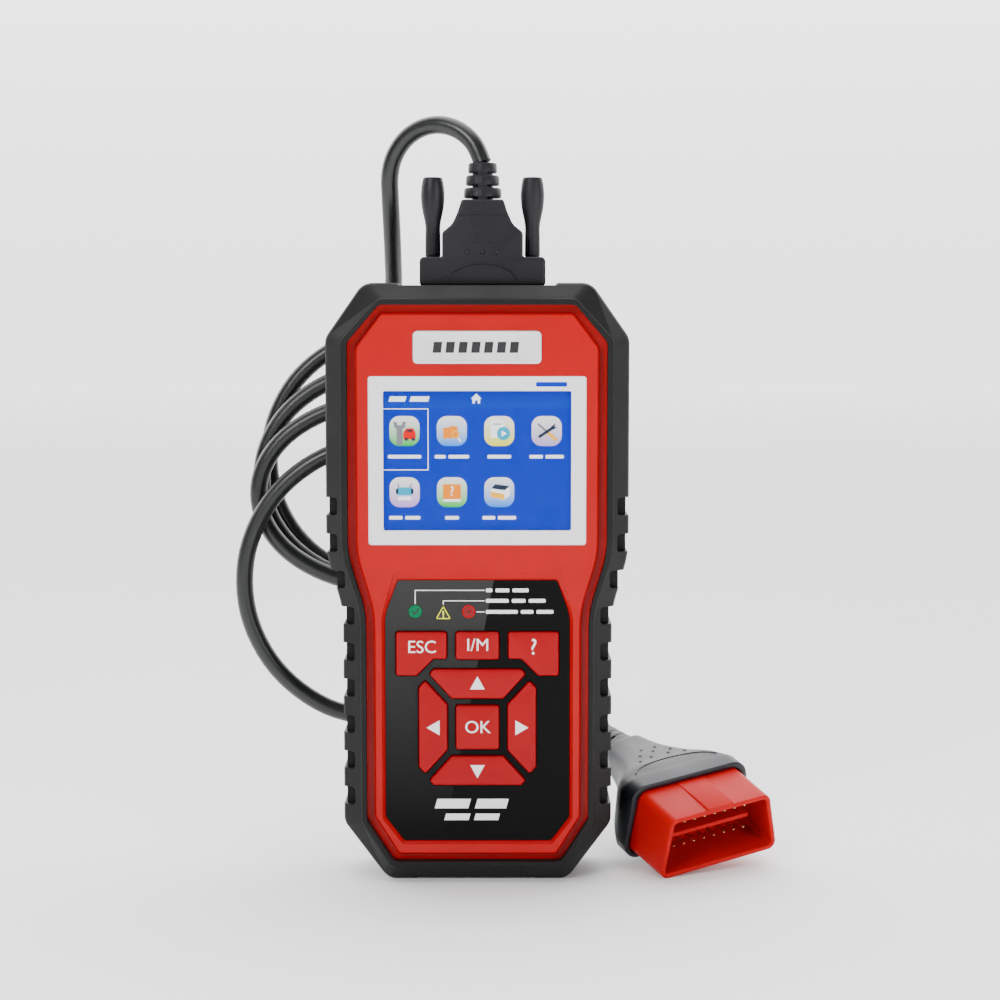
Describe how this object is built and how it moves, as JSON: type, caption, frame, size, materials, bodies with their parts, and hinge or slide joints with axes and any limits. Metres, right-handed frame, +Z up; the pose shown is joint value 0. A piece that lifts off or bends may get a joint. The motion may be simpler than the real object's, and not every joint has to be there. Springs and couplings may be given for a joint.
{
  "type": "diagnostic code reader",
  "caption": "Handheld vehicle diagnostic code reader with a colour screen, sprung keys, a rubber boot and a plug-in cable that ends in a vehicle plug.",
  "frame": {"origin": "under the middle of the reader, on the surface that it stands on", "axes": "+Z up the reader's length, -Y out of the screen, +X to the reader's right as it is read"},
  "size_m": [0.1861, 0.1042, 0.2557],
  "materials": {
    "rubber_boot": "matt moulded rubber",
    "front_housing": "satin moulded ABS",
    "rear_housing": "fine texture",
    "case_screws": "zinc plated",
    "nameplate": "bevelled plate",
    "screen_bezel": "printed white",
    "screen_lens": "clear",
    "display_panel": "lit colour display",
    "display_backlight": "white",
    "display_ribbon": "polyimide film",
    "keypad_overlay": "polished",
    "keypad_mat": "silicone",
    "keys": "satin keys",
    "lamp_green": "light pipe",
    "lamp_yellow": "light pipe",
    "lamp_red": "light pipe",
    "electronics": "moulded packages",
    "status_leds": "white packages",
    "main_board": "solder mask",
    "bright_metal": "tin plated",
    "pin_metal": "gold flashed",
    "plug_body": "soft moulded PVC",
    "cable_jacket": "smooth cable jacket",
    "tie_fabric": "hook and loop strap",
    "obd_red": "satin moulded"
  },
  "bodies": {
    "reader": {"rubber_boot": "rubber_boot", "front_housing": "front_housing", "rear_housing": "rear_housing", "case_screws": "case_screws", "nameplate": "nameplate", "screen_bezel": "screen_bezel", "screen_lens": "screen_lens", "display_panel": "display_panel", "display_backlight": "display_backlight", "display_ribbon": "display_ribbon", "keypad_overlay": "keypad_overlay", "keypad_mat": "keypad_mat", "lamp_green": "lamp_green", "lamp_yellow": "lamp_yellow", "lamp_red": "lamp_red", "status_leds": "status_leds", "main_board": "main_board", "processor_chips": "electronics", "board_capacitors": "electronics", "crystal": "bright_metal", "beeper": "electronics", "board_socket": "electronics", "socket_jack_nuts": "bright_metal", "plug_metal_shell": "bright_metal", "plug_insert": "electronics", "plug_pins": "pin_metal", "cable_plug_hood": "plug_body", "cable_strain_relief": "plug_body", "cable_lead": "cable_jacket", "cable_coil": "cable_jacket", "cable_tail": "cable_jacket", "cable_tie": "tie_fabric", "obd_strain_relief": "plug_body", "obd_backshell": "plug_body", "obd_nose": "obd_red", "obd_pins": "pin_metal", "obd_pin_carrier": "obd_red"},
    "key_esc_body": {"key_esc": "keys"},
    "key_im_body": {"key_im": "keys"},
    "key_help_body": {"key_help": "keys"},
    "key_up_body": {"key_up": "keys"},
    "key_left_body": {"key_left": "keys"},
    "key_ok_body": {"key_ok": "keys"},
    "key_right_body": {"key_right": "keys"},
    "key_down_body": {"key_down": "keys"},
    "left_thumbscrew_body": {"left_thumbscrew": "plug_body"},
    "right_thumbscrew_body": {"right_thumbscrew": "plug_body"}
  },
  "joints": [
    {"name": "key_esc_press", "type": "slide", "parent": "reader", "child": "key_esc_body", "axis": [0, 1, 0], "range_m": [0, 0.001], "stiffness_N_per_m": 900},
    {"name": "key_im_press", "type": "slide", "parent": "reader", "child": "key_im_body", "axis": [0, 1, 0], "range_m": [0, 0.001], "stiffness_N_per_m": 900},
    {"name": "key_help_press", "type": "slide", "parent": "reader", "child": "key_help_body", "axis": [0, 1, 0], "range_m": [0, 0.001], "stiffness_N_per_m": 900},
    {"name": "key_up_press", "type": "slide", "parent": "reader", "child": "key_up_body", "axis": [0, 1, 0], "range_m": [0, 0.001], "stiffness_N_per_m": 900},
    {"name": "key_left_press", "type": "slide", "parent": "reader", "child": "key_left_body", "axis": [0, 1, 0], "range_m": [0, 0.001], "stiffness_N_per_m": 900},
    {"name": "key_ok_press", "type": "slide", "parent": "reader", "child": "key_ok_body", "axis": [0, 1, 0], "range_m": [0, 0.001], "stiffness_N_per_m": 900},
    {"name": "key_right_press", "type": "slide", "parent": "reader", "child": "key_right_body", "axis": [0, 1, 0], "range_m": [0, 0.001], "stiffness_N_per_m": 900},
    {"name": "key_down_press", "type": "slide", "parent": "reader", "child": "key_down_body", "axis": [0, 1, 0], "range_m": [0, 0.001], "stiffness_N_per_m": 900},
    {"name": "left_thumbscrew_turn", "type": "hinge", "parent": "reader", "child": "left_thumbscrew_body", "pos_m": [-0.01495, 0.001, 0.2], "axis": [0, 0, 1], "continuous": true},
    {"name": "right_thumbscrew_turn", "type": "hinge", "parent": "reader", "child": "right_thumbscrew_body", "pos_m": [0.01835, 0.001, 0.2], "axis": [0, 0, 1], "continuous": true}
  ]
}
